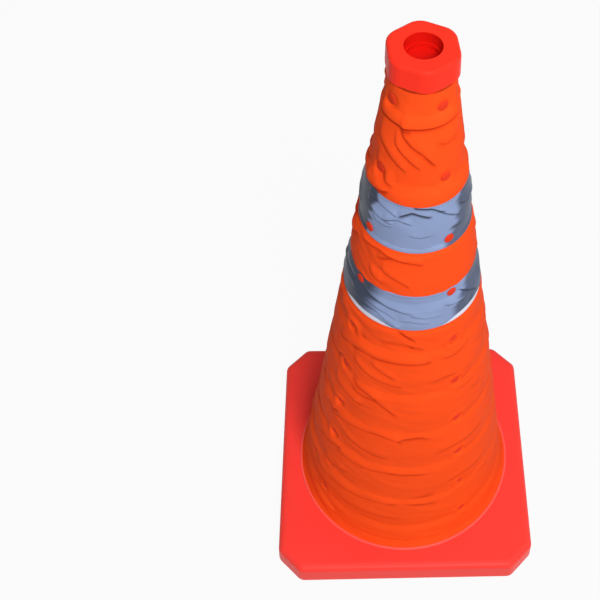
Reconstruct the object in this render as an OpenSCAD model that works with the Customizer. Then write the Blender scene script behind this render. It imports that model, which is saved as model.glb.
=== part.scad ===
// Collapsible traffic cone: a square base that holds a stack of nesting plastic rings,
// covered by a sewn fabric sleeve that is pinned to every second ring by domed pegs.
// Origin: centre of the footprint, on the ground. +Z up. The -Y side is the front.
// Ring 0 is fixed in the base. Rings 1 to 20 slide down into each other.

/* [Base] */
// Width of the square base across its flat sides
base_w = 304; // [290:1:340]
// Height of the base's top face above the ground
base_h = 32; // [28:1:40]
// Length cut off each side at the base's four corners
base_chamfer = 27; // [12:1:32]
// Radius that rounds the eight upright corners of the base
base_corner_r = 12; // [4:1:14]
// Radius that rounds the base's top edge
base_edge_r = 8; // [2:1:10]
// How far the base's sides lean in from the ground up to that rounded edge
base_draft = 1; // [0:0.25:1.5]
// Wall thickness of the base moulding
base_wall = 3; // [2:0.5:4]
// Thickness of the bottom cover plate
plate_t = 2.5; // [2:0.5:4]
// Thickness of the rubber feet
foot_t = 2; // [1.5:0.5:4]
// Radius of a rubber foot
foot_pad_r = 9; // [6:1:12]
// Distance of each foot's middle from the two sides of the base next to it
foot_inset = 52; // [46:1:60]
// Distance of each screw from the two sides of the base next to it
screw_inset = 30; // [28:1:34]
// Radius of a cover screw's shank
screw_r = 1.5; // [1:0.25:2]

/* [Rings] */
// Outer radius of ring 1 at its foot
first_foot_r = 118; // [114:0.5:120]
// Outer radius of the topmost ring at its foot
top_foot_r = 27; // [26:0.5:30]
// Outer radius of the topmost ring at its rim
top_rim_r = 25.9; // [25:0.1:26]
// Wall thickness of every ring
ring_wall = 1.5; // [1.2:0.1:1.6]
// Height that ring 1 shows above the ring around it, less its growth
first_pitch = 29; // [28:0.5:32]
// Extra height of each ring over the one around it
pitch_growth = 0.36; // [0.2:0.02:0.5]
// Height over which neighbouring rings overlap when the cone stands up
ring_overlap = 6; // [5.6:0.2:8]
// Height of the topmost ring
top_ring_h = 38.6; // [36:0.2:44]
// Height of ring 0 above the base's top face
collar_rise = 2; // [1.6:0.2:3]
// Radial gap between a ring's rim and the foot of the next ring
ring_fit = 1; // [0.9:0.05:1.2]
// How far a ring's foot bead and rim lip stand out
catch_depth = 0.85; // [0.6:0.05:0.9]
// Height of the straight part of a foot bead
bead_h = 2; // [1.5:0.1:2.2]
// Height of the straight part of a rim lip
lip_h = 1.9; // [1.4:0.1:2]

/* [Pegs] */
// Height of a peg's axis above the rim below it
peg_rise = 14; // [12:0.5:16]
// Radius of a peg's domed head
peg_head_r = 4.75; // [4:0.25:5.5]
// Crown height of a peg's head
peg_head_h = 1.2; // [0.8:0.1:1.2]
// Radius of a peg's stem
peg_stem_r = 2; // [1.5:0.25:2.5]
// Radius of a peg's flared inner end, which lies flush in the ring's wall
peg_flare_r = 2.6; // [2.2:0.1:2.9]
// Room on each side of a peg's head in the guide slot of the ring around it
peg_slot_gap = 0.75; // [0.5:0.05:1.5]
// Turn of the first peg from the front, towards +X
peg_turn = 34; // [20:1:45]

/* [Sleeve] */
// Thickness of the sleeve
sleeve_t = 0.6; // [0.4:0.1:0.7]
// Thickness of the reflective bands
band_t = 0.6; // [0.4:0.1:0.6]
// How far the lower band reaches below its row of pegs
low_band_drop = 38.76; // [36:0.02:41]
// Height of the lower band from edge to edge
low_band_h = 45; // [42:1:48]
// How far the upper band reaches below its row of pegs
high_band_drop = 9.2; // [7:0.2:12]
// Height of the upper band from edge to edge
high_band_h = 56; // [50:1:58]
// How far the sleeve's hem spreads on the base outside the sleeve's foot
hem_reach = 6.05; // [5:0.05:8]
// Width of the round bead ring that clamps the edge of that hem
hem_ring_w = 3.4; // [3:0.1:5]
// Height of that bead ring above the base
hem_ring_h = 3; // [2:0.5:4]

/* [Cap] */
// Width of the six-sided cap across its flats
cap_w = 55; // [54:0.5:60]
// Height of the six-sided cap
cap_h = 20; // [18:0.5:24]
// Radius that rounds the cap's six corners
cap_corner_r = 15; // [4:0.5:18]
// Turn of the cap's front corner from the front, towards +X
cap_turn = 6; // [0:1:30]
// How far the cap's sides lean in from its lower edge up to its rounded edge
cap_draft = 0.5; // [0:0.1:1]
// Radius that rounds the cap's top edge
cap_edge_r = 3; // [1:0.5:4]
// Radius of the hole in the cap
cap_bore_r = 14.8; // [12:0.1:16]
// Depth of the hole down to its shoulder
cap_bore_h = 10; // [8:0.5:12]
// Radius of the narrower pocket below the shoulder
pocket_r = 13; // [10:0.5:13]
// Depth of that pocket
pocket_h = 4; // [2:0.5:6]
// Depth of the plug that holds the cap in the topmost ring
plug_h = 14; // [10:1:18]
// Wall thickness of that plug
plug_wall = 2; // [1.5:0.5:3]
// Thickness of the pocket's floor
pocket_floor_t = 2; // [1.5:0.5:3]

/* [Hidden] */
$fn = 96;
soft_fn = 32;
last = 20;
clear = 0.3;          // running gap between pieces that move past each other
fabric_gap = 0.35;    // gap between a ring and the sleeve over it
peg_hole_gap = 0.1;   // radial gap round a peg's stem in its ring
peg_flush = 0.1;      // depth of a peg's inner end below the ring's inner surface
cloth_hole_gap = 0.4; // radial gap round a peg's stem in the cloth
head_gap = 0.05;      // gap between a peg's head and the cloth under it
hem_side_gap = 0.2;   // gap between the hem's edge and the bead ring round it
hem_clamp = 1.9;      // width of the hem's edge under the bead ring
screw_room = 4;       // free depth in a boss above its screw
low_band_ring = 14;   // ring whose pegs go through the lower band
high_band_ring = 16;  // ring whose pegs go through the upper band
peg_count = 4;
cut = 1;              // length by which a cutting shape passes the surface that it cuts
red = "tomato";
orange = "orangered";

// Heights of the base's layers
plate_top = foot_t + plate_t;
collar_top = base_h + collar_rise;
first_foot = collar_top - ring_overlap;

// A ring's foot height, its own height and its rim height, with the cone standing up
function pitch(i) = first_pitch + pitch_growth * i;
function foot_z(i) = i == 0 ? plate_top
    : first_foot + first_pitch * (i - 1) + pitch_growth * i * (i - 1) / 2;
function ring_h(i) = i == 0 ? collar_top - plate_top
    : i == last ? top_ring_h
    : pitch(i) + ring_overlap;
function rim_z(i) = foot_z(i) + ring_h(i);

// A ring's outer radius at its foot, at its rim and at any height
body_slope = (first_foot_r - top_foot_r) / (foot_z(last) - foot_z(1));
function foot_r(i) = i == 0 ? rim_r(0) + wall_taper(1) * ring_h(0)
    : first_foot_r - body_slope * (foot_z(i) - foot_z(1));
function rim_r(i) = i == last ? top_rim_r : foot_r(i + 1) + ring_fit + ring_wall;
function wall_taper(i) = (foot_r(i) - rim_r(i)) / ring_h(i);
function wall_r(i, z) = foot_r(i) - wall_taper(i) * (z - foot_z(i));

// Every second ring carries a row of pegs: row 1 is on ring 2
function peg_ring(row) = 2 * row;
function peg_z(i) = rim_z(i - 1) + peg_rise;
peg_rest = peg_head_r + 0.25; // half height of the stretch where the cloth lies on the ring

// The cloth's inner radius: over each rim, and pulled in to the wall at each row of pegs
cloth_knots = [
    for (i = [1 : last]) each concat(
        [[rim_z(i - 1), rim_r(i - 1) + fabric_gap]],
        i % 2 == 1 ? [] : [
            for (side = [-1, 1]) let (z = peg_z(i) + side * peg_rest)
                [z, wall_r(i, z) + fabric_gap]
        ]
    ),
    [rim_z(last) - clear, rim_r(last) + fabric_gap]
];
function cloth_r(z) = lookup(z, cloth_knots);

// The lower edges of the two bands
low_band_z = peg_z(low_band_ring) - low_band_drop;
high_band_z = peg_z(high_band_ring) - high_band_drop;

// The knots of a stretch of cloth from z0 to z1, as [radius, height]
function stretch(z0, z1) = concat(
    [[cloth_r(z0), z0]],
    [for (k = cloth_knots) if (k[0] > z0 && k[0] < z1) [k[1], k[0]]],
    [[cloth_r(z1), z1]]
);
function reversed(list) = [for (i = [len(list) - 1 : -1 : 0]) list[i]];

// A regular outline with rounded corners: each corner is an arc that both sides touch
function corner_arc(before, at, after, r, steps) =
    let (
        u = (before - at) / norm(before - at),
        v = (after - at) / norm(after - at),
        half = acos(u * v) / 2,
        mid = (u + v) / norm(u + v),
        centre = at + mid * r / sin(half),
        start = at + u * r / tan(half) - centre,
        turn = 180 - 2 * half,
        side = sign(u[0] * v[1] - u[1] * v[0])
    )
    [for (s = [0 : steps]) let (a = -side * turn * s / steps)
        centre + [start[0] * cos(a) - start[1] * sin(a), start[0] * sin(a) + start[1] * cos(a)]];
function rounded(points, r, steps = 5) =
    let (n = len(points))
    [for (i = [0 : n - 1])
        each corner_arc(points[(i + n - 1) % n], points[i], points[(i + 1) % n], r, steps)];

// The base's outline, drawn in by a distance all round
function base_outline(inset = 0) =
    let (
        h = base_w / 2 - inset,
        c = base_chamfer - inset * (2 - sqrt(2))
    )
    rounded([[h, c - h], [h, h - c], [h - c, h], [c - h, h],
             [-h, h - c], [-h, c - h], [c - h, -h], [h - c, -h]],
            max(base_corner_r - inset, 1));
// The cap's outline, with a corner at the front before the cap is turned
function cap_outline(inset = 0) =
    let (r = (cap_w / 2 - inset) / cos(30))
    rounded([for (a = [0 : 60 : 300]) [r * sin(a), -r * cos(a)]],
            max(cap_corner_r - inset, 1));

// A slab with leaning sides and a rounded top edge, from outlines drawn in along a quarter circle
module round_topped(h, r, lean, kind) {
    steps = 4;
    thin = 0.01;
    module outline(inset) polygon(kind == "cap" ? cap_outline(inset) : base_outline(inset));
    hull() {
        linear_extrude(thin) outline(0);
        for (s = [0 : steps])
            translate([0, 0, h - r + r * sin(90 * s / steps) - thin]) linear_extrude(thin)
                outline(lean + r * (1 - cos(90 * s / steps)));
    }
}

// Places its children at the four corners of a square
module at_corners(offset) {
    for (x = [-1, 1], y = [-1, 1]) translate([x * offset, y * offset, 0]) children();
}

// Places its children at the pegs of ring i, with +Z outwards and z = 0 on the ring's wall
module at_pegs(i) {
    tilt = atan(wall_taper(i));
    for (k = [0 : peg_count - 1]) rotate([0, 0, peg_turn + k * 360 / peg_count])
        translate([0, -wall_r(i, peg_z(i)), peg_z(i)]) rotate([90 - tilt, 0, 0]) children();
}

// Base
foot_offset = base_w / 2 - foot_inset;
screw_offset = base_w / 2 - screw_inset;
boss_r = 5;       // radius of a screw boss
gusset_t = 2;     // thickness of the gusset between a boss and its corner
gusset_lift = 4;  // height of a gusset's lower edge above the cover plate
screw_head_share = 0.6; // height of a screw's head as a share of the feet's

module base_shell() color(red) difference() {
    union() {
        difference() {
            translate([0, 0, foot_t])
                round_topped(base_h - foot_t, base_edge_r, base_draft, "base");
            translate([0, 0, foot_t - cut])
                linear_extrude(base_h - base_edge_r - foot_t + cut) polygon(base_outline(base_wall));
            translate([0, 0, foot_t]) linear_extrude(base_h - base_wall - foot_t)
                polygon(base_outline(base_wall + base_edge_r / 2));
        }
        translate([0, 0, plate_top]) at_corners(screw_offset)
            cylinder(h = base_h - plate_top - cut, r = boss_r, $fn = soft_fn);
        translate([0, 0, plate_top + gusset_lift])
            linear_extrude(base_h - base_edge_r - plate_top - gusset_lift) intersection() {
                for (a = [45 : 90 : 315]) rotate(a)
                    translate([screw_offset * sqrt(2), -gusset_t / 2]) square([base_w, gusset_t]);
                polygon(base_outline(base_wall / 2));
            }
    }
    cylinder(h = base_h + cut, r = foot_r(0) + clear);
    at_corners(screw_offset) translate([0, 0, foot_t - cut])
        cylinder(h = base_h - base_wall - foot_t, r = screw_r + peg_hole_gap, $fn = soft_fn);
}

module base_plate() color("firebrick") difference() {
    translate([0, 0, foot_t]) linear_extrude(plate_t)
        polygon(base_outline(base_wall + clear));
    at_corners(screw_offset) translate([0, 0, foot_t - cut])
        cylinder(h = plate_t + 2 * cut, r = screw_r + clear, $fn = soft_fn);
}

module base_screws() color("silver") at_corners(screw_offset) {
    head_h = foot_t * screw_head_share;
    translate([0, 0, foot_t - head_h]) cylinder(h = head_h, r = 2 * screw_r, $fn = soft_fn);
    translate([0, 0, foot_t - cut / 2])
        cylinder(h = base_h - base_wall - foot_t - screw_room, r = screw_r, $fn = soft_fn);
}

module rubber_feet() color("dimgray")
    at_corners(foot_offset) rotate_extrude($fn = soft_fn)
        polygon([[0, 0], [foot_pad_r - foot_t / 2, 0], [foot_pad_r, foot_t / 2],
                 [foot_pad_r, foot_t], [0, foot_t]]);

// The bead ring lies on the sleeve's hem and on the base around it
hem_r = cloth_r(collar_top) + sleeve_t + hem_reach;
hem_ring_inner = hem_r - hem_clamp;
hem_ring_r = hem_ring_inner + hem_ring_w;
module hem_ring() color(red) rotate_extrude() {
    inner = hem_ring_inner;
    low = base_h + sleeve_t;
    top = base_h + hem_ring_h;
    mid = (inner + hem_ring_r) / 2;
    half = (hem_ring_r - inner) / 2;
    steps = 8;
    polygon(concat(
        [[inner, low], [hem_r + hem_side_gap, low], [hem_r + hem_side_gap, base_h],
         [hem_ring_r, base_h]],
        [for (s = [0 : steps]) let (a = 180 * s / steps)
            [mid + half * cos(a), low + (top - low) * sin(a)]]
    ));
}

// One ring: a slightly tapered wall with an outward bead at its foot and an inward lip at its rim
module ring(i) color(i == 0 ? "firebrick" : "orangered") {
    foot = foot_z(i);
    rim = rim_z(i);
    taper = wall_taper(i);
    bead = catch_depth;
    lip = i == last ? 0 : catch_depth;
    difference() {
        rotate_extrude() polygon([
            [foot_r(i) - ring_wall, foot],
            [foot_r(i) + (i == 0 ? 0 : bead), foot],
            [foot_r(i) + (i == 0 ? 0 : bead) - (i == 0 ? taper * bead_h : 0), foot + bead_h],
            [foot_r(i) - taper * (bead_h + bead), foot + bead_h + bead],
            [rim_r(i), rim],
            [rim_r(i) - ring_wall - lip, rim],
            [rim_r(i) - ring_wall - lip, rim - lip_h],
            [rim_r(i) - ring_wall + taper * (lip_h + lip), rim - lip_h - lip]
        ]);
        if (i % 2 == 1) peg_slots(i);
        if (i % 2 == 0 && i > 0) at_pegs(i) peg_hole();
    }
}

// Slots from ring i's rim down to where the next ring's pegs stop: they guide the peg heads
module peg_slots(i) {
    half = peg_head_r + peg_slot_gap;
    low = foot_z(i) + peg_z(i + 1) - foot_z(i + 1);
    deep = foot_r(i) - rim_r(i) + ring_wall + catch_depth + cut;
    for (k = [0 : peg_count - 1]) rotate([0, 0, peg_turn + k * 360 / peg_count])
        translate([0, -rim_r(i) + ring_wall + catch_depth + half, low]) {
            rotate([90, 0, 0]) cylinder(h = half + deep, r = half, $fn = soft_fn);
            translate([-half, -half - deep, 0]) cube([2 * half, half + deep, rim_z(i) - low + cut]);
        }
}
// A peg's hole through its ring, widened inside for the flared end
module peg_hole() {
    end = -ring_wall + peg_flush;
    translate([0, 0, -ring_wall - cut])
        cylinder(h = ring_wall + 2 * cut, r = peg_stem_r + peg_hole_gap, $fn = soft_fn);
    translate([0, 0, end])
        cylinder(h = peg_flare_r - peg_stem_r, r1 = peg_flare_r + peg_hole_gap,
                 r2 = peg_stem_r + peg_hole_gap, $fn = soft_fn);
    translate([0, 0, -ring_wall - cut])
        cylinder(h = cut + peg_flush, r = peg_flare_r + peg_hole_gap, $fn = soft_fn);
}

// Pegs of row 1 to 10: a domed head over the cloth and a stem with a flared, flush end
function in_band(i) = let (z = peg_z(i))
    (z > low_band_z && z < low_band_z + low_band_h)
    || (z > high_band_z && z < high_band_z + high_band_h);
module pegs(row) color("crimson") {
    i = peg_ring(row);
    seat = fabric_gap + sleeve_t + (in_band(i) ? clear + band_t : 0) + head_gap;
    steps = 6;
    rim_t = 0.3;
    end = -ring_wall + peg_flush;
    at_pegs(i) rotate_extrude($fn = soft_fn) polygon(concat(
        [[0, end], [peg_flare_r, end], [peg_stem_r, end + peg_flare_r - peg_stem_r],
         [peg_stem_r, seat], [peg_head_r, seat]],
        [for (s = [0 : steps]) let (a = 90 * s / steps)
            [peg_head_r * cos(a), seat + rim_t + (peg_head_h - rim_t) * sin(a)]]
    ));
}

// Cloth from z0 to z1, at a distance outside the sleeve's inner surface
module cloth(z0, z1, out, t) rotate_extrude() {
    line = stretch(z0, z1);
    polygon(concat(
        [for (p = line) p + [out, 0]],
        [for (p = reversed(line)) p + [out + t, 0]]
    ));
}
module cloth_holes(i) at_pegs(i)
    cylinder(h = 2 * peg_head_r, r = peg_stem_r + cloth_hole_gap, $fn = soft_fn);

module sleeve() color(orange) difference() {
    union() {
        cloth(base_h, rim_z(last) - clear, 0, sleeve_t);
        translate([0, 0, base_h]) difference() {
            cylinder(h = sleeve_t, r = hem_r);
            translate([0, 0, -cut])
                cylinder(h = sleeve_t + 2 * cut, r = cloth_r(base_h) + sleeve_t / 2);
        }
    }
    for (row = [1 : last / 2]) cloth_holes(peg_ring(row));
}

module band(z, h) color("slategray") difference() {
    cloth(z, z + h, sleeve_t + clear, band_t);
    for (row = [1 : last / 2]) if (peg_z(peg_ring(row)) > z && peg_z(peg_ring(row)) < z + h)
        cloth_holes(peg_ring(row));
}

// Cap: a six-sided head with a stepped blind hole, and a plug that fills the topmost ring's mouth
cap_z = rim_z(last);
pocket_z = cap_z + cap_h - cap_bore_h - pocket_h;
plug_r = rim_r(last) - ring_wall - peg_hole_gap;
module cap() color(red) difference() {
    union() {
        translate([0, 0, cap_z]) rotate([0, 0, cap_turn])
            round_topped(cap_h, cap_edge_r, cap_draft, "cap");
        translate([0, 0, cap_z - plug_h]) cylinder(h = plug_h + cut, r = plug_r);
    }
    translate([0, 0, cap_z - plug_h - cut])
        cylinder(h = plug_h + cut + pocket_z - pocket_floor_t - cap_z, r = plug_r - plug_wall);
    translate([0, 0, pocket_z]) cylinder(h = pocket_h + cut, r = pocket_r);
    translate([0, 0, pocket_z + pocket_h]) cylinder(h = cap_bore_h + cut, r = cap_bore_r);
}

base_shell();
base_plate();
base_screws();
rubber_feet();
hem_ring();
sleeve();
band(low_band_z, low_band_h);  // lower_band
band(high_band_z, high_band_h);  // upper_band
cap();
ring(0);  // ring_00
ring(1);  // ring_01
ring(2);  // ring_02
ring(3);  // ring_03
ring(4);  // ring_04
ring(5);  // ring_05
ring(6);  // ring_06
ring(7);  // ring_07
ring(8);  // ring_08
ring(9);  // ring_09
ring(10);  // ring_10
ring(11);  // ring_11
ring(12);  // ring_12
ring(13);  // ring_13
ring(14);  // ring_14
ring(15);  // ring_15
ring(16);  // ring_16
ring(17);  // ring_17
ring(18);  // ring_18
ring(19);  // ring_19
ring(20);  // ring_20
pegs(1);  // pegs_01
pegs(2);  // pegs_02
pegs(3);  // pegs_03
pegs(4);  // pegs_04
pegs(5);  // pegs_05
pegs(6);  // pegs_06
pegs(7);  // pegs_07
pegs(8);  // pegs_08
pegs(9);  // pegs_09
pegs(10);  // pegs_10
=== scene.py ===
"""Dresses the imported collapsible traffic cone: cloth sleeve, reflective bands, mouldings, pegs.

Lengths are in metres. Angles called turn run round the cone from its front, -Y, towards +X.
"""

from __future__ import annotations

import logging
import math
from dataclasses import dataclass, field, replace
from enum import Enum

import bpy
import numpy as np
from mathutils import Matrix, Vector


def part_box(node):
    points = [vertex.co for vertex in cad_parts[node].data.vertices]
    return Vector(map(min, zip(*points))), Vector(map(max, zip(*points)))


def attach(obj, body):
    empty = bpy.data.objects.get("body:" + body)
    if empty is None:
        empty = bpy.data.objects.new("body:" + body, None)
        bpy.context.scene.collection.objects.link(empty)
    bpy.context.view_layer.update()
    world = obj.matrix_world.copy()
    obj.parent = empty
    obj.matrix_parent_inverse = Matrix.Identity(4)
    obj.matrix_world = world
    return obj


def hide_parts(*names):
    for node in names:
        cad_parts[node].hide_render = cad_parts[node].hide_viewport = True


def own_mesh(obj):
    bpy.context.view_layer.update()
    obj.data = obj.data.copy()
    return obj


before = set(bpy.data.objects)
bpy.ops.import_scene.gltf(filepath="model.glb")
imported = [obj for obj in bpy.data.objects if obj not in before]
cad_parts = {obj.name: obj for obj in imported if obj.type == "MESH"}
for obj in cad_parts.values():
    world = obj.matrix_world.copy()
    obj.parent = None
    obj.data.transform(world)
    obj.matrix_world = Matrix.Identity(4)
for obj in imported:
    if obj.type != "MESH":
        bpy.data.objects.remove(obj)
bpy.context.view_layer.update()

LOG = logging.getLogger("traffic_cone")
MM = 0.001
LAST_RING = 20
CAP_PLUG = 14 * MM
PEG_ROWS = 10
PEGS_IN_ROW = 4
Array = np.ndarray


class Slot(Enum):
    """Names of material slots for the sleeve's cloth and the bands' tape. Nothing in the script
    uses them.
    """

    SLEEVE = "sleeve_fabric"
    BAND = "reflective_band"


# ---------------------------------------------------------------- finishes

# A Mix node's sockets for the colour below, the colour over it and the mixed colour.
MIX_BELOW, MIX_OVER, MIX_RESULT = 6, 7, 2


class NodeTree:
    """A short way to build a material's nodes."""

    def __init__(self, name: str) -> None:
        """Makes an empty node material.

        Args:
            name: the material's name.
        """
        self.material = bpy.data.materials.new(name)
        self.material.use_nodes = True
        self.nodes = self.material.node_tree.nodes
        self.links = self.material.node_tree.links
        self.nodes.clear()
        self.output = self.add("ShaderNodeOutputMaterial")

    def add(self, kind: str, **settings: object) -> bpy.types.Node:
        """Adds a node and sets its properties or, for names that are sockets, its inputs.

        Args:
            kind: the node's type name.
            settings: property or socket names, with spaces written as underscores.

        Returns:
            The new node.
        """
        node = self.nodes.new(kind)
        for name, value in settings.items():
            if hasattr(node, name):
                setattr(node, name, value)
            else:
                node.inputs[name.replace("_", " ")].default_value = value
        return node

    def join(self, source: bpy.types.NodeSocket, target: bpy.types.NodeSocket) -> None:
        """Links one socket to another."""
        self.links.new(source, target)

    def math(
        self, operation: str, a: bpy.types.NodeSocket, b: float | bpy.types.NodeSocket
    ) -> bpy.types.NodeSocket:
        """Adds a maths node.

        Args:
            operation: the node's operation, such as MULTIPLY.
            a: the first value's socket.
            b: the second value, as a number or a socket.

        Returns:
            The result's socket.
        """
        node = self.add("ShaderNodeMath", operation=operation)
        self.join(a, node.inputs[0])
        if isinstance(b, (int, float)):
            node.inputs[1].default_value = b
        else:
            self.join(b, node.inputs[1])
        return node.outputs[0]

    def blend(self, share: bpy.types.NodeSocket, low: tuple, high: tuple) -> bpy.types.NodeSocket:
        """Adds a colour ramp between two colours.

        Args:
            share: the socket that picks the place between them, from 0 to 1.
            low: the colour at 0.
            high: the colour at 1.

        Returns:
            The colour's socket.
        """
        ramp = self.add("ShaderNodeValToRGB")
        ramp.color_ramp.elements[0].color = (*low, 1.0)
        ramp.color_ramp.elements[1].color = (*high, 1.0)
        self.join(share, ramp.inputs[0])
        return ramp.outputs[0]

    def cover(
        self, share: bpy.types.NodeSocket, colour: bpy.types.NodeSocket, over: tuple
    ) -> bpy.types.NodeSocket:
        """Lays one plain colour over another.

        Args:
            share: how much of the plain colour shows, from 0 to 1.
            colour: the socket of the colour below.
            over: the plain colour.

        Returns:
            The mixed colour's socket.
        """
        mix = self.add("ShaderNodeMix", data_type="RGBA")
        self.join(share, mix.inputs["Factor"])
        self.join(colour, mix.inputs[MIX_BELOW])
        mix.inputs[MIX_OVER].default_value = (*over, 1.0)
        return mix.outputs[MIX_RESULT]

    def wave(self, value: bpy.types.NodeSocket, rate: float) -> bpy.types.NodeSocket:
        """Adds the sine of a value times a rate."""
        sine = self.add("ShaderNodeMath", operation="SINE")
        self.join(self.math("MULTIPLY", value, rate), sine.inputs[0])
        return sine.outputs[0]

    def texture(self, kind: str, **settings: object) -> bpy.types.Node:
        """Adds a texture that reads the object's own coordinates."""
        texture = self.add(kind, **settings)
        self.join(self.add("ShaderNodeTexCoord").outputs["Object"], texture.inputs["Vector"])
        return texture

    def carried(self, name: str) -> bpy.types.NodeSocket:
        """The number that the mesh's points carry by this name."""
        return self.add("ShaderNodeAttribute", attribute_name=name).outputs["Fac"]

    def along_cloth(self) -> tuple[bpy.types.NodeSocket, bpy.types.NodeSocket]:
        """The ways round and up the cloth, from its UV map, which is in metres."""
        split = self.add("ShaderNodeSeparateXYZ")
        self.join(self.add("ShaderNodeUVMap", uv_map="cloth").outputs[0], split.inputs[0])
        return split.outputs[0], split.outputs[1]

    def finish(
        self,
        colour: bpy.types.NodeSocket,
        roughness: float,
        gloss: float,
        height: bpy.types.NodeSocket,
        strength: float,
        depth: float,
    ) -> bpy.types.Material:
        """Adds the shader with its bumps, and joins it to the output.

        Args:
            colour: the base colour's socket.
            roughness: the shader's roughness.
            gloss: the shader's specular level.
            height: the socket of the bumps' height, about 0 to 1.
            strength: the bumps' strength.
            depth: how deep they are.

        Returns:
            The finished material.
        """
        shader = self.add("ShaderNodeBsdfPrincipled", Roughness=roughness)
        shader.inputs["Specular IOR Level"].default_value = gloss
        self.join(colour, shader.inputs["Base Color"])
        bump = self.add("ShaderNodeBump", Strength=strength, Distance=depth)
        self.join(height, bump.inputs["Height"])
        self.join(bump.outputs["Normal"], shader.inputs["Normal"])
        self.join(shader.outputs[0], self.output.inputs[0])
        return self.material


@dataclass(frozen=True)
class MouldedPlastic:
    """Injection-moulded plastic: even colour with faint clouding, fine grain and soft gloss.

    A socket, given by its radius and the height of its mouth, is painted a deeper red inside as
    shade.
    """

    name: str
    colour: tuple[float, float, float]
    deep: tuple[float, float, float]
    roughness: float = 0.42
    gloss: float = 0.16
    grain_scale: float = 1400.0
    grain_depth: float = 0.00002
    grain_strength: float = 0.6
    cloud_scale: float = 14.0
    socket: tuple[float, float] | None = None
    socket_shade_colour: tuple[float, float, float] = (0.66, 0.008, 0.004)

    def build(self) -> bpy.types.Material:
        """Builds the material.

        Returns:
            The material.
        """
        tree = NodeTree(self.name)
        cloud = tree.texture("ShaderNodeTexNoise", Scale=self.cloud_scale, Detail=3.0)
        grain = tree.texture("ShaderNodeTexNoise", Scale=self.grain_scale, Detail=2.0)
        colour = tree.blend(cloud.outputs["Fac"], self.deep, self.colour)
        # Painted shade: the socket's inside, below its mouth, is darkened to a deeper red.
        if self.socket:
            radius, mouth = self.socket
            x, y, z = tree.texture("ShaderNodeSeparateXYZ").outputs
            squares = [tree.math("MULTIPLY", way, way) for way in (x, y)]
            inside = tree.math("LESS_THAN", tree.math("ADD", *squares), radius**2)
            inside = tree.math("MULTIPLY", inside, tree.math("LESS_THAN", z, mouth))
            colour = tree.cover(inside, colour, self.socket_shade_colour)
        return tree.finish(
            colour,
            self.roughness,
            self.gloss,
            grain.outputs["Fac"],
            self.grain_strength,
            self.grain_depth,
        )


@dataclass(frozen=True)
class SleeveCloth:
    """Coated plain-weave nylon: crossed threads, hardly any gloss, and painted shade in the folds.
    """

    name: str = "sleeve_nylon"
    colour: tuple[float, float, float] = (1.0, 0.084, 0.012)
    # deep: the darker colour, which paints shade in the folds and also takes the even darkening and
    # the clouding.
    deep: tuple[float, float, float] = (0.38, 0.013, 0.001)
    thread: float = 0.00055
    thread_depth: float = 0.00007
    thread_strength: float = 0.5
    roughness: float = 0.6
    gloss: float = 0.03
    cloud_scale: float = 22.0
    cloud_share: float = 0.16
    deep_share: float = 0.12

    def build(self) -> bpy.types.Material:
        """Builds the material. The weave is the product of a wave round and a wave up the cloth.

        Returns:
            The material.
        """
        tree = NodeTree(self.name)
        waves = [tree.wave(way, math.pi / self.thread) for way in tree.along_cloth()]
        cloud = tree.texture("ShaderNodeTexNoise", Scale=self.cloud_scale, Detail=4.0)
        faded = tree.math("MULTIPLY", cloud.outputs["Fac"], self.cloud_share)
        # Painted shade: the fold attribute darkens the cloth towards the deep colour in the fold
        # valleys.
        share = tree.math("ADD", tree.carried("fold"), self.deep_share)
        share = tree.math("SUBTRACT", share, faded)
        return tree.finish(
            tree.blend(share, self.colour, self.deep),
            self.roughness,
            self.gloss,
            tree.math("MULTIPLY", *waves),
            self.thread_strength,
            self.thread_depth,
        )


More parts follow.
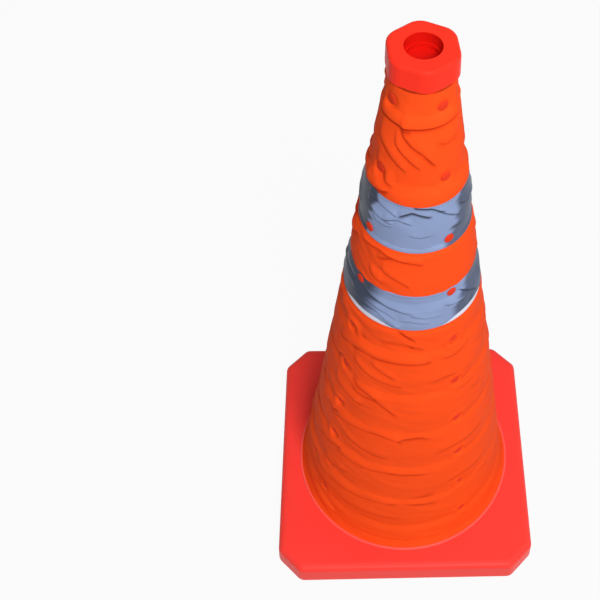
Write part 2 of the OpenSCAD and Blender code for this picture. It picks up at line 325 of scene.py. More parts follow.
@dataclass(frozen=True)
class ReflectiveTape:
    """Retroreflective tape: a blue-grey film full of tiny glass beads on a white woven backing."""

    name: str = "reflective_tape"
    colour: tuple[float, float, float] = (0.245, 0.315, 0.520)
    deep: tuple[float, float, float] = (0.042, 0.052, 0.086)
    backing: tuple[float, float, float] = (0.72, 0.72, 0.84)
    bead: float = 0.00025
    bead_relief: float = 0.3
    stitch: float = 0.0030
    stitch_from: float = -0.4
    stitch_share: float = 0.35
    stitch_relief: float = 2.0
    relief_strength: float = 0.4
    relief_depth: float = 0.00006
    roughness: float = 0.42
    gloss: float = 0.14
    soil_scale: float = 38.0
    soil_share: float = 0.30
    clean_share: float = 0.10
    # The share of the shade painted in the fold valleys.
    fold_shade_share: float = 1.2
    # The share of the shade painted at the sides, with the patches behind.
    side_shade_share: float = 0.95

    def build(self) -> bpy.types.Material:
        """Builds the material. The UV map, in metres, spaces the stitches along the seams.

        The film goes from its colour to the deep one with the shade painted in the folds, soil, the
        shade painted at the sides with patches behind, and stitches, each times its share.

        Returns:
            The material.
        """
        tree = NodeTree(self.name)
        beads = tree.texture("ShaderNodeTexVoronoi", Scale=1.0 / (2 * self.bead))
        soil = tree.texture("ShaderNodeTexNoise", Scale=self.soil_scale, Detail=5.0)
        soiled = tree.math("MULTIPLY", soil.outputs["Fac"], self.soil_share)
        # Painted shade: the fold attribute darkens the film towards the deep colour in the fold
        # valleys.
        folded = tree.math("MULTIPLY", tree.carried("fold"), self.fold_shade_share)
        # Painted shade: this attribute darkens the film at the sides, with darker patches behind.
        side_shade_with_patches = tree.math("MULTIPLY", tree.carried("side_shade_and_patches"), self.side_shade_share)
        share = tree.math("SUBTRACT", tree.math("ADD", folded, soiled), self.clean_share)
        share = tree.math("ADD", share, side_shade_with_patches)
        wave = tree.wave(tree.along_cloth()[0], 2 * math.pi / self.stitch)
        sewn = tree.math("GREATER_THAN", wave, self.stitch_from)
        thread = tree.math("MULTIPLY", tree.carried("seam"), sewn)
        share = tree.math("ADD", share, tree.math("MULTIPLY", thread, self.stitch_share))
        film = tree.blend(share, self.colour, self.deep)
        raised = tree.math("MULTIPLY", beads.outputs["Distance"], self.bead_relief)
        relief = tree.math("ADD", raised, tree.math("MULTIPLY", thread, self.stitch_relief))
        return tree.finish(
            tree.cover(tree.carried("backing"), film, self.backing),
            self.roughness,
            self.gloss,
            relief,
            self.relief_strength,
            self.relief_depth,
        )


# ---------------------------------------------------------------- the stack of rings


@dataclass
class RingStack:
    """The rings' places, read from the frame. Heights and radii are arrays, one value a ring."""

    bead: float = 0.85 * MM
    wall: float = 1.5 * MM
    fit: float = 1.0 * MM
    top_taper: float = 1.1 * MM
    cloth_gap: float = 0.35 * MM
    peg_rest: float = 5.0 * MM
    peg_turn: float = math.radians(34.0)
    foot_z: Array = field(init=False)
    rim_z: Array = field(init=False)
    foot_r: Array = field(init=False)
    rim_r: Array = field(init=False)
    peg_z: Array = field(init=False)

    def __post_init__(self) -> None:
        """Reads each ring's box. A rim lies a fit and a wall outside the next ring's foot."""
        boxes = [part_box(f"ring_{i:02d}") for i in range(LAST_RING + 1)]
        self.foot_z = np.array([low.z for low, _ in boxes])
        self.rim_z = np.array([high.z for _, high in boxes])
        self.foot_r = np.array([high.x for _, high in boxes]) - self.bead
        rims = self.foot_r[1:] + self.fit + self.wall
        self.rim_r = np.append(rims, self.foot_r[-1] - self.top_taper)
        rows = [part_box(f"pegs_{row:02d}") for row in range(1, PEG_ROWS + 1)]
        self.peg_z = np.array([(low.z + high.z) / 2 for low, high in rows])

    def knots(self) -> tuple[Array, Array]:
        """The sleeve's inner line: over each rim, and on the wall at each row of pegs.

        Returns:
            Heights and radii of the line's knots.
        """
        heights, radii = [], []
        for i in range(1, LAST_RING + 1):
            heights.append(self.rim_z[i - 1])
            radii.append(self.rim_r[i - 1])
            if i % 2 == 0:
                taper = (self.foot_r[i] - self.rim_r[i]) / (self.rim_z[i] - self.foot_z[i])
                for side in (-1, 1):
                    z = self.peg_z[i // 2 - 1] + side * self.peg_rest
                    heights.append(z)
                    radii.append(self.foot_r[i] - taper * (z - self.foot_z[i]))
        heights.append(self.rim_z[LAST_RING])
        radii.append(self.rim_r[LAST_RING])
        return np.array(heights), np.array(radii) + self.cloth_gap

    def ledges(self) -> Array:
        """Heights at which the cloth breaks over a ring below each row of pegs."""
        return self.rim_z[1:LAST_RING:2]


# ---------------------------------------------------------------- folds in cloth

# The points of a fold's line, and over how many of them it is smoothed.
LINE_POINTS, SMOOTHED_POINTS = 41, 7
# How much wider a fold's valley is below its line than above it, and how dark the shade painted in
# it is.
VALLEY_BELOW, VALLEY_SHADE = 2.0, 1.1
# Where the cloth over a valley hangs down most, and over what width, in shares of its reach.
DROOP_AT, DROOP_WIDTH = 0.6, 0.55
# The even share in the spacing of the columns. The rest draws them together in front.
EVEN_SHARE = 0.6


def turned(a: Array, centre: float) -> Array:
    """Angles from a centre, wrapped to lie between minus and plus half a turn."""
    return (a - centre + math.pi) % (2 * math.pi) - math.pi


def eased(share: Array) -> Array:
    """Shares held between 0 and 1, with level ends: three squares less two cubes."""
    held = np.clip(share, 0, 1)
    return held * held * (3 - 2 * held)


def slow_wave(turn: Array, seed: int, waves: int = 5) -> Array:
    """A smooth random line round the cone: a sum of sines of 1 to `waves` periods a turn.

    Each sine has a random phase and a random size from 0.4 to 1. The sum is divided by the sizes'.

    Args:
        turn: angles round the cone.
        seed: picks the line.
        waves: the number of sines.

    Returns:
        Values of about -1 to 1, of the same shape as turn.
    """
    rng = np.random.default_rng(seed)
    phases = rng.uniform(0, 2 * math.pi, waves)
    sizes = rng.uniform(0.4, 1.0, waves)
    total = sum(s * np.sin((k + 1) * turn + p) for k, (s, p) in enumerate(zip(sizes, phases)))
    return total / sizes.sum()


@dataclass(frozen=True)
class Ripple:
    """A slow wave that winds round the cone: it runs along a sum of the turn and the height."""

    across: float
    up: float
    seed: int
    waves: int

    def at(self, turn: Array, z: Array) -> Array:
        """The slow wave at across times the turn plus up times the height."""
        return slow_wave(self.across * turn + self.up * z, self.seed, self.waves)


@dataclass(frozen=True)
class Span:
    """A stretch with soft ends: it rises after its low end and falls before its high end."""

    low: float | Array
    high: float | Array
    rise: float
    fall: float

    def share(self, value: Array) -> Array:
        """1 inside the stretch and 0 outside it: the eased rise times the eased fall."""
        return eased((value - self.low) / self.rise) * eased((self.high - value) / self.fall)


@dataclass
class Relief:
    """The cloth's shape over its plain outline, and the shade painted in its valleys, on columns
    round the cone and rows up it.
    """

    turn: Array
    z: Array
    out: Array = field(init=False)
    drop: Array = field(init=False)
    # deep holds painted shade: how dark each place in the fold valleys is painted.
    deep: Array = field(init=False)

    def __post_init__(self) -> None:
        """Starts with no relief at all."""
        self.out, self.drop, self.deep = (np.zeros((len(self.turn), len(self.z))) for _ in range(3))


@dataclass(frozen=True)
class Fold:
    """A fold through given places, as turns in degrees with heights in millimetres.

    Below the line lies a sharp valley. Above it the cloth swells out and hangs down over the
    valley.
    """

    places: tuple[tuple[float, float], ...]
    depth: float = 0.9
    swell: float = 1.1
    reach: float = 3.0
    droop: float = 1.0
    sharp: float = 1.5
    fade: float = 9.0

    def press(self, relief: Relief) -> None:
        """Adds the fold to a relief.

        The line runs through the places, smoothed over a sixth of its length. With u the height
        over the line, the valley is a bell curve of u that is twice as wide below the line, and the
        swell is u/reach times e to the power 1 - u/reach. The droop is a bell curve of u/reach.
        All of them fade out at the ends of the line.

        Args:
            relief: the relief that changes.
        """
        turns, heights = np.array(self.places).T
        centre = math.radians((turns[0] + turns[-1]) / 2)
        fine = np.linspace(turns[0], turns[-1], LINE_POINTS)
        kernel = np.hanning(SMOOTHED_POINTS + 2)[1:-1]
        line = np.interp(fine, turns, heights)
        line = np.pad(line, SMOOTHED_POINTS // 2, "reflect", reflect_type="odd")
        line = np.convolve(line, kernel / kernel.sum(), "valid")
        aside = np.degrees(turned(relief.turn, centre)) + math.degrees(centre)
        share = Span(turns[0], turns[-1], self.fade, self.fade).share(aside)
        on = np.flatnonzero(share)
        u = relief.z[None, :] / MM - np.interp(aside[on], fine, line)[:, None]
        size = share[on][:, None]
        valley = np.exp(-((u / np.where(u < 0, VALLEY_BELOW * self.sharp, self.sharp)) ** 2))
        over = np.clip(u / self.reach, 0, None)
        hung = np.exp(-(((over - DROOP_AT) / DROOP_WIDTH) ** 2)) * (u > 0)
        relief.out[on] += size * (self.swell * over * np.exp(1 - over) - self.depth * valley) * MM
        relief.drop[on] += size * self.droop * hung * MM
        # Painted shade: the valley's darkness, which the materials read as the fold attribute.
        relief.deep[on] += VALLEY_SHADE * size * valley * min(1.0, self.depth)


@dataclass(frozen=True)
class FoldMaker:
    """Draws a seeded set of folds on a part of the cloth, in degrees and millimetres.

    Depth, swell and droop are those of a fold of strength 1. Tilt and bow are the spreads of a
    fold's slope and of the bend in its middle.
    """

    seed: int
    count: int
    low: float
    high: float
    turn_from: float
    turn_to: float
    slant: float = 0.0
    length: tuple[float, float] = (18.0, 46.0)
    strength: tuple[float, float] = (0.3, 1.0)
    sharp: float = 1.5
    reach: tuple[float, float] = (2.2, 4.5)
    depth: float = 0.8
    swell: float = 1.1
    droop: float = 0.9
    tilt: float = 0.16
    bow: float = 2.2

    def folds(self) -> list[Fold]:
        """Draws the folds in one fixed order.

        Returns:
            The folds.
        """
        rng = np.random.default_rng(self.seed)
        made = []
        for _ in range(self.count):
            start = rng.uniform(self.turn_from, self.turn_to)
            z = rng.uniform(self.low, self.high)
            length, strength = rng.uniform(*self.length), rng.uniform(*self.strength)
            rise = self.slant * length + rng.normal(0, self.tilt) * length
            middle = (start + length / 2, z + rise / 2 - rng.normal(0, self.bow))
            places = ((start, z), middle, (start + length, z + rise))
            depth, swell, droop = (k * strength for k in (self.depth, self.swell, self.droop))
            made.append(Fold(places, depth, swell, rng.uniform(*self.reach), droop, self.sharp))
        return made


# ---------------------------------------------------------------- meshes


def loop_mesh(
    name: str, points: Array, uv: Array | None = None, values: dict[str, Array] | None = None
) -> bpy.types.Object:
    """Makes a smooth mesh from a grid of points that closes on itself along both its axes.

    Args:
        name: the object's name.
        points: positions, shape (around, up, 3). A column runs up the front and down the back.
        uv: map coordinates of the points, shape (around + 1, up, 2).
        values: numbers for the material at each point, by attribute name, shape (around, up).

    Returns:
        The linked object.
    """
    around, up = points.shape[:2]
    index = np.arange(around * up).reshape(around, up)
    right, above = np.roll(index, -1, axis=0), np.roll(index, -1, axis=1)
    quads = np.stack([index, right, np.roll(right, -1, axis=1), above], -1).reshape(-1, 4)
    mesh = bpy.data.meshes.new(name)
    mesh.vertices.add(around * up)
    mesh.vertices.foreach_set("co", points.astype(np.float32).ravel())
    mesh.loops.add(quads.size)
    mesh.loops.foreach_set("vertex_index", quads.ravel().astype(np.int32))
    mesh.polygons.add(len(quads))
    mesh.polygons.foreach_set("loop_start", np.arange(0, quads.size, 4, dtype=np.int32))
    mesh.polygons.foreach_set("use_smooth", np.ones(len(quads), bool))
    if uv is not None:
        turned_up = np.roll(uv, -1, axis=1)
        corner = np.stack([uv[:-1], uv[1:], turned_up[1:], turned_up[:-1]], 2)
        layer = mesh.uv_layers.new(name="cloth")
        layer.data.foreach_set("uv", corner.reshape(-1).astype(np.float32))
    for label, value in (values or {}).items():
        attribute = mesh.attributes.new(label, "FLOAT", "POINT")
        attribute.data.foreach_set("value", value.ravel().astype(np.float32))
    mesh.update()
    mesh.validate()
    thing = bpy.data.objects.new(name, mesh)
    bpy.context.scene.collection.objects.link(thing)
    return thing


def wrapped(turn: Array, radius: Array, z: Array) -> Array:
    """Points on the cone: turn 0 is at -Y and a quarter turn at +X."""
    return np.stack([radius * np.sin(turn), -radius * np.cos(turn), z], -1)


def columns(count: int) -> Array:
    """Angles round the cone, three times as close in front as at the back.

    They start at the back. The angle is half a turn times 0.6 s + 0.4 s cubed, s from -1 to 1.

    Args:
        count: the number of columns.

    Returns:
        The angles.
    """
    s = np.linspace(-1, 1, count, endpoint=False)
    return math.pi * (EVEN_SHARE * s + (1 - EVEN_SHARE) * s**3)


# ---------------------------------------------------------------- the cloth


@dataclass
class FoldAway:
    """The height at which the cloth lies when the rings are down, flat on the rings' rims."""

    floor: float = 47.0 * MM
    keep: float = 0.004

    def apply(self, piece: bpy.types.Object) -> None:
        """Makes a piece ride on the base, with a mesh of its own."""
        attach(piece, "base")
        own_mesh(piece)


# After a fold's places come its depth, swell, reach, droop, sharp and fade, where they are given.
# Long folds over the rims of the rings, strong at the left front and faint at the right front.
LEDGE_FOLDS = (
    Fold(
        ((-70, 358), (-62, 362), (-40, 370), (-25, 370), (-13, 371), (9, 371), (16, 371)),
        1.0, 1.3, 5.0, 1.3,
    ),
    Fold(((-48, 304), (-36, 302), (-26, 303), (-17, 295), (-8, 283)), 0.9, 1.2, 4.4, 1.1),
    Fold(
        ((-64, 230), (-56, 234), (-39, 244), (-23, 248), (-11, 246), (-4, 238)),
        1.2, 1.5, 5.0, 1.5, 1.4, 6.0,
    ),
    Fold(((-12, 243), (-6, 246), (6, 249), (16, 243)), 0.5, 0.4, 3.8, 0.3),
    Fold(
        ((-54, 173), (-45, 176), (-34, 177), (-23, 180), (-14, 183), (-6, 182)),
        1.1, 1.3, 5.0, 1.4, 1.4,
    ),
    Fold(((-16, 179), (-9, 181), (3, 181), (14, 179)), 0.45, 0.4, 3.8, 0.3),
    Fold(
        ((-70, 104), (-64, 107), (-52, 113), (-40, 114), (-27, 119), (-12, 121), (-5, 120)),
        1.2, 1.4, 5.0, 1.5, 1.4,
    ),
    Fold(((-3, 121), (4, 120), (14, 118), (20, 117)), 0.5, 0.4, 3.8, 0.3),
    Fold(((-80, 652), (-54, 651), (-20, 650), (17, 651), (45, 652), (70, 653)), 0.9, 1.5, 5.6, 1.4),
)
# Short folds below the lower band.
LOWER_FOLDS = (
    Fold(((-30, 394), (-22, 396), (-8, 398), (6, 391), (10, 388)), 0.6, 0.6, 3.8, 0.5, 1.4, 8.0),
    Fold(((-16, 417), (-10, 414), (-2, 407), (4, 400)), 0.8, 0.3, 3.1, 0.3, 1.3, 8.0),
    Fold(((-50, 352), (-44, 347), (-33, 338), (-12, 334), (-6, 333)), 0.6, 1.1, 4.4, 0.9, 1.4, 7.0),
    Fold(((-34, 359), (-29, 356), (-15, 347), (-11, 344)), 0.5, 0.9, 3.8, 0.7, 1.3, 6.0),
    Fold(((-66, 300), (-58, 292), (-41, 285), (-34, 284)), 1.1, 1.6, 4.4, 1.4, 1.4, 7.0),
    Fold(((-50, 318), (-40, 312), (-30, 310), (-20, 304)), 0.5, 0.9, 5.0, 0.8, 1.4),
    Fold(((-82, 231), (-75, 234), (-59, 241), (-52, 246)), 0.9, 1.3, 4.4, 1.2, 1.6, 7.0),
    Fold(((-86, 150), (-81, 156), (-61, 177), (-50, 184)), 1.0, 1.5, 4.4, 1.3, 1.6, 7.0),
    Fold(((-64, 170), (-60, 174), (-50, 183), (-46, 186)), 0.8, 1.0, 3.8, 1.0, 1.3, 5.0),
    Fold(((-62, 131), (-57, 136), (-47, 144), (-40, 147)), 0.7, 1.1, 4.4, 0.9, 1.6, 6.0),
    Fold(((-76, 268), (-68, 262), (-58, 262), (-48, 268)), 0.6, 1.2, 5.0, 1.0, 1.8),
    Fold(((-84, 330), (-76, 326), (-66, 328), (-58, 336)), 0.7, 1.3, 5.0, 1.0, 1.8),
    Fold(((-80, 396), (-68, 398), (-56, 392), (-44, 380)), 0.7, 1.4, 5.6, 1.2, 1.8),
    Fold(((-50, 214), (-38, 214), (-24, 208), (-12, 208)), 0.35, 0.7, 5.0, 0.5, 1.8),
    Fold(((-70, 84), (-46, 92), (-30, 90), (0, 93)), 0.3, 0.7, 5.6, 0.5, 1.6, 16.0),
    Fold(((22, 151), (36, 152), (52, 150), (62, 152)), 0.3, 0.4, 4.4, 0.3, 1.8),
    Fold(((14, 214), (30, 217), (44, 215), (60, 218)), 0.3, 0.45, 4.4, 0.3, 1.8),
    Fold(((10, 337), (24, 341), (38, 338)), 0.3, 0.4, 4.4, 0.3, 1.8),
)
# Folds between the bands, above them and near the cap.
UPPER_FOLDS = (
    Fold(((-66, 506), (-57, 509), (-37, 511), (-18, 509), (-8, 507)), 0.4, 0.8, 3.8, 0.6),
    Fold(((-42, 500), (-35, 503), (-23, 508), (1, 505), (8, 503)), 0.6, 0.9, 3.8, 0.7, 1.3, 7.0),
    Fold(((-48, 481), (-43, 478), (-38, 474), (-30, 471)), 0.6, 0.9, 3.8, 0.7, 1.3, 5.0),
    Fold(((-36, 491), (-30, 487), (-17, 482), (-8, 477), (-4, 475)), 0.5, 0.8, 4.4, 0.7, 1.3, 6.0),
    Fold(((-80, 572), (-69, 576), (-57, 576), (-45, 578), (-34, 581)), 0.6, 1.0, 5.0, 1.0, 1.6),
    Fold(
        ((-32, 644), (-24, 640), (-14, 633), (1, 626), (15, 615), (22, 609)),
        0.5, 1.2, 5.5, 0.9, 1.8, 8.0,
    ),
    Fold(((-70, 632), (-58, 625), (-40, 616), (-26, 609), (-16, 604)), 0.4, 1.1, 5.5, 0.8, 1.8),
    Fold(((-40, 634), (-30, 627), (-10, 615), (2, 608)), 0.4, 0.9, 4.6, 0.7, 1.6, 8.0),
    Fold(((-36, 645), (-29, 646), (-20, 646), (-12, 645)), 0.3, 0.5, 3.4, 0.4, 1.3, 7.0),
    Fold(((-66, 602), (-54, 596), (-42, 588), (-30, 585)), 0.4, 1.0, 5.0, 0.8, 1.6, 8.0),
    Fold(((16, 636), (34, 630), (52, 632), (70, 640)), 0.2, 0.7, 6.0, 0.5, 1.8, 14.0),
    Fold(
        ((-95, 574), (-60, 573), (-20, 571), (8, 570), (40, 571), (95, 574)),
        0.3, 0.9, 5.6, 1.7, 1.6, 20.0,
    ),
    Fold(((85, 574), (140, 573), (200, 574), (275, 574)), 0.3, 0.9, 5.6, 1.7, 1.6, 20.0),
    # The last fold is a shallow groove under the cap's rim; its valley also paints a band of shade
    # there.
    Fold(
        ((-120, 684), (-70, 684), (-20, 684), (40, 684), (90, 684)),
        0.6, 0.0, 3.0, 0.0, 0.8, 40.0,
    ),
)


@dataclass
class Sleeve:
    """The sewn cloth cover, from the hem on the base to the cap's underside.

    The steps in tighter each give a share of looseness that the cloth loses, the height at which
    that starts, and the height over which it happens.
    """

    rings: RingStack
    flat: float = 0.55 * MM
    slack: float = 1.1 * MM
    gain: float = 1.55
    billow: float = 3.0 * MM
    thick: float = 0.35 * MM
    least: float = 0.15 * MM
    under_band: float = 0.8 * MM
    hold: float = 6.8 * MM
    hold_reach: float = 4.0
    puff: float = 1.1 * MM
    puff_at: float = 1.3
    puff_width: float = 0.45
    flare: float = 4.9 * MM
    flare_height: float = 8.0 * MM
    hem_lift: float = 0.45 * MM
    top_gap: float = 0.2 * MM
    close_below: float = 6.0 * MM
    close_rise: float = 3.0 * MM
    close_fall: float = 2.0 * MM
    calm_share: float = 0.45
    calm_turn: float = math.radians(10.0)
    calm_fade: float = 1.2
    fine_share: float = 0.3
    broad: tuple[Ripple, Ripple] = (Ripple(1, 9, 90, 9), Ripple(2, 70, 91, 6))
    fine: tuple[Ripple, Ripple] = (Ripple(3, 45, 92, 6), Ripple(-2, 150, 93, 4))
    tighter: tuple[tuple[float, float, float], ...] = ((0.45, 0.40, 0.10), (0.25, 0.58, 0.05))
    around: int = 236
    rows: tuple[int, int, int, int] = (40, 395, 130, 200)
    hidden_rows: int = 12
    hem_crowd: float = 1.8
    folds: list[Fold] = field(default_factory=list)
    covered: list[tuple[float, float]] = field(default_factory=list)

    def __post_init__(self) -> None:
        """Collects the folds: those of the front by place, and drawn ones elsewhere."""
        top = self.rings.rim_z[-1] / MM
        makers = [
            FoldMaker(
                100 + k, 4, ledge - 8, ledge + 1, 75, 230, length=(40, 80), strength=(0.5, 1.2)
            )
            for k, ledge in enumerate(self.rings.ledges() / MM)
        ]
        makers += [
            FoldMaker(21, 46, 50, top, 80, 240, slant=0.1),
            FoldMaker(22, 22, 50, top, 236, 266, slant=-0.25, length=(16, 30)),
            FoldMaker(23, 20, 60, 410, 20, 74, length=(14, 34), strength=(0.12, 0.4)),
        ]
        self.folds += [*LEDGE_FOLDS, *LOWER_FOLDS, *UPPER_FOLDS]
        for maker in makers:
            self.folds += maker.folds()

    def hem_height(self) -> float:
        """Height of the lowest row of cloth, a little over the base's top face."""
        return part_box("base_shell")[1].z + self.hem_lift

    def rest_radius(self, z: Array) -> Array:
        """Radius of the rings' outline with the cloth's gap, which the cloth never goes inside."""
        heights, radii = self.rings.knots()
        return np.interp(z, heights, radii)

    def peg_hold(self, turn: Array, z: Array, radius: Array) -> tuple[Array, Array]:
        """How firmly the pegs hold the cloth on the ring, and the puffed rim round each of them.

        With d the distance from a peg over the size of its hollow, the hold is e to the power
        minus d to the fourth. The puff is a bell curve round d of 1.3.

        Args:
            turn: angles of the columns.
            z: heights of the rows.
            radius: radii of the rows.

        Returns:
            Hold and puff as shares from 0 to 1, with a row and a column each.
        """
        hold, puff = (np.zeros((len(turn), len(z))) for _ in range(2))
        for height in self.rings.peg_z:
            rows = np.abs(z - height) < self.hold_reach * self.hold
            for k in range(PEGS_IN_ROW):
                place = self.rings.peg_turn + k * 2 * math.pi / PEGS_IN_ROW
                aside = turned(turn, place)[:, None] * radius[None, rows]
                far = np.hypot(aside, (z - height)[None, rows]) / self.hold
                rim = np.exp(-(((far - self.puff_at) / self.puff_width) ** 2))
                hold[:, rows] = np.maximum(hold[:, rows], np.exp(-(far**4)))
                puff[:, rows] = np.maximum(puff[:, rows], rim)
        return hold, puff

    def band_cover(self, z: Array) -> Array:
        """1 in the rows under a band and close below it, and 0 a little way off."""
        cover = np.zeros_like(z)
        for low, high in self.covered:
            below = eased((z - low + self.close_below) / self.close_rise)
            cover = np.maximum(cover, below * eased((high - z) / self.close_fall))
        return cover

    def waves(self, turn: Array, z: Array) -> Array:
        """Slow waves: the product of two broad ripples, and a share of that of two fine ones."""
        waves = self.broad[0].at(turn, z) * self.broad[1].at(turn, z)
        return waves + self.fine_share * self.fine[0].at(turn, z) * self.fine[1].at(turn, z)

    def unrest(self, turn: Array) -> Array:
        """How high the waves go: full at the left, and a calm share of that at the right."""
        left = eased(-turned(turn, self.calm_turn) / self.calm_fade)
        return self.calm_share + (1 - self.calm_share) * left

    def looseness(self, z: Array) -> Array:
        """How loose the cloth is: 1 low down, less by a share over the height of each step."""
        loose = np.ones_like(z)
        for share, start, height in self.tighter:
            loose = loose - share * eased((z - start) / height)
        return loose

    def surface(self, turn: Array, z: Array) -> tuple[Array, Array, Array]:
        """The folded cloth on a grid of columns and rows of the unfolded sleeve.

        The radius is that of the rings' outline, the cloth's thickness, slack, folds and slow
        waves, all of which the pegs hold down. Slack and waves get less towards the top. Under the
        bands the cloth lies close. At the hem it flares out over the base, by e to the power minus
        the height over the hem, in units of the flare's height.

        Args:
            turn: angles of the columns.
            z: heights of the rows before folding.

        Returns:
            Radii, heights, and the shade painted in the folds, from 0 to 1.
        """
        relief = Relief(turn, z)
        for fold in self.folds:
            fold.press(relief)
        rest = self.rest_radius(z)
        t, h = turn[:, None], z[None, :]
        hold, puff = self.peg_hold(turn, z, rest)
        free, bare = 1 - hold, 1 - self.band_cover(z)[None, :]
        loose = self.looseness(h)
        over = self.slack * loose + self.gain * relief.out
        over = over + self.billow * self.unrest(t) * loose * self.waves(t, h)
        radius = rest[None, :] + self.flat + free * bare * over + puff * bare * loose**2 * self.puff
        radius += (1 - bare) * (self.under_band - self.flat)
        radius = np.maximum(radius, rest[None, :] + self.least)
        above = np.clip(h - self.hem_height(), 0, None)
        radius += self.flare * np.exp(-above / self.flare_height)
        # The shade painted in the folds, less where the pegs hold the cloth.
        fold = np.clip(relief.deep * free, 0, 1)
        return radius, h - relief.drop * free * bare, fold

    def flat_map(self, turn: Array, rows: Array) -> Array:
        """Map coordinates in metres: the turn times the outline's radius, and the height."""
        wide, level = np.append(turn, math.pi)[:, None], rows[None, :]
        return np.stack(np.broadcast_arrays(wide * self.rest_radius(level), level), -1)

    def piece(self, name: str, rows: Array) -> bpy.types.Object:
        """Builds a stretch of the sleeve as a thin closed shell, coarse on its hidden side.

        Args:
            name: the piece's name.
            rows: heights of its rows from its lower to its upper edge.

        Returns:
            The piece.
        """
        turn = columns(self.around)
        radius, height, fold = self.surface(turn, rows)
        hidden = np.linspace(len(rows) - 1, 0, self.hidden_rows).astype(int)
        front = wrapped(turn[:, None], radius, height)
        inner = self.rest_radius(rows[hidden]) + self.flat - self.thick
        plain = np.broadcast_to(inner, (self.around, self.hidden_rows)).copy()
        plain[:, [0, -1]] = radius[:, hidden[[0, -1]]] - self.thick
        back = wrapped(turn[:, None], plain, height[:, hidden])
        points = np.concatenate([front, back], axis=1)
        shade = np.concatenate([fold, fold[:, hidden]], axis=1)
        uv = self.flat_map(turn, np.concatenate([rows, rows[hidden]]))
        return loop_mesh(name, points, uv, {"fold": shade})

    def stretches(self, floor: float) -> list[tuple[str, Array]]:
        """Divides the sleeve into stretches, which meet at a floor and in the middle of each band.

        The foot's rows come closer together towards the hem: their heights over it are those of
        even rows, as shares, to the power hem_crowd.

        Args:
            floor: the height of the folded cloth, where the foot ends.

        Returns:
            The stretches' names with the heights of their rows.
        """
        hem = self.hem_height()
        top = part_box("cap")[0].z + CAP_PLUG - self.top_gap
        ends = (floor, *(sum(edges) / 2 for edges in self.covered), top)
        foot = hem + (floor - hem) * np.linspace(0, 1, self.rows[0]) ** self.hem_crowd
        made = [("sleeve_foot", foot)]
        names = ("sleeve_lower", "sleeve_middle", "sleeve_upper")
        for name, low, high, count in zip(names, ends, ends[1:], self.rows[1:]):
            made.append((name, np.linspace(low, high, count)))
        return made

    def lay(self, fold_away: FoldAway, cloth: bpy.types.Material) -> None:
        """Builds the stretches, gives each the cloth and makes it ride on the base.

        Args:
            fold_away: how the cloth lies when the rings are down.
            cloth: the sleeve's material.
        """
        for name, rows in self.stretches(fold_away.floor):
            piece = self.piece(name, rows)
            piece.data.materials.append(cloth)
            LOG.info("%s: %d faces", name, len(piece.data.polygons))
            radii = self.rest_radius(rows)
            if name == "sleeve_foot":
                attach(piece, "base")
            else:
                fold_away.apply(piece)
            if name == "sleeve_lower":
                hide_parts("sleeve")


LOWER_BAND_FOLDS = (
    Fold(
        ((-92, 448), (-76, 452), (-51, 451), (-31, 447), (-12, 443), (0, 440)),
        0.9, 1.0, 3.0, 0.3, 0.6, 12.0,
    ),
    Fold(((-60, 434), (-52, 431), (-29, 428), (-13, 418), (-8, 415)), 1.0, 1.2, 2.6, 0.3, 0.6, 7.0),
    Fold(((-66, 438), (-55, 436), (-33, 435), (-15, 422), (-9, 418)), 0.7, 0.9, 2.4, 0.3, 0.5, 8.0),
    Fold(((-48, 442), (-38, 441), (-24, 437), (-14, 431)), 0.6, 0.8, 2.4, 0.3, 0.5, 8.0),
    Fold(((-6, 439), (-2, 438), (8, 435), (17, 434), (24, 435)), 0.6, 0.7, 2.2, 0.3, 0.5, 6.0),
    Fold(((-14, 430), (-4, 431), (6, 428), (14, 427)), 0.5, 0.6, 2.2, 0.3, 0.5, 6.0),
    Fold(((24, 446), (34, 442), (46, 440), (60, 444)), 0.6, 0.9, 3.0, 0.3, 0.6, 8.0),
    Fold(((40, 455), (50, 448), (60, 438), (70, 430)), 0.7, 1.0, 3.0, 0.3, 0.6, 7.0),
    Fold(((52, 428), (60, 430), (74, 436), (86, 438)), 0.6, 0.9, 3.0, 0.3, 0.6, 8.0),
)
UPPER_BAND_FOLDS = (
    Fold(
        ((-66, 566), (-61, 564), (-44, 563), (-27, 559), (-22, 557)),
        0.9, 0.9, 2.2, 0.3, 0.5, 6.0,
    ),
    Fold(
        ((-66, 557), (-60, 555), (-48, 549), (-32, 547), (-26, 547)),
        1.0, 1.1, 2.4, 0.3, 0.5, 7.0,
    ),
    Fold(((-54, 545), (-46, 541), (-36, 541), (-26, 544)), 0.6, 0.7, 2.2, 0.3, 0.5, 6.0),
    Fold(((-40, 549), (-34, 550), (-22, 554), (-11, 552), (-6, 550)), 0.9, 0.9, 2.4, 0.3, 0.5, 6.0),
    Fold(((-24, 557), (-18, 560), (-7, 565), (9, 560), (16, 558)), 1.2, 0.9, 2.4, 0.3, 1.1, 7.0),
    Fold(((-8, 571), (-2, 570), (14, 568), (27, 563), (31, 562)), 1.2, 0.6, 2.2, 0.5, 0.7, 6.0),
    Fold(((18, 564), (23, 563), (31, 558), (41, 552), (48, 549)), 0.8, 0.8, 2.4, 0.3, 0.6, 6.0),
    Fold(((46, 562), (58, 556), (72, 552), (84, 554)), 0.6, 0.8, 2.6, 0.3, 0.6, 8.0),
    Fold(((36, 538), (50, 536), (64, 538)), 0.4, 0.6, 2.6, 0.3, 0.6, 8.0),
    Fold(((-12, 538), (2, 535), (18, 537)), 0.3, 0.4, 2.6, 0.2, 0.6, 8.0),
)


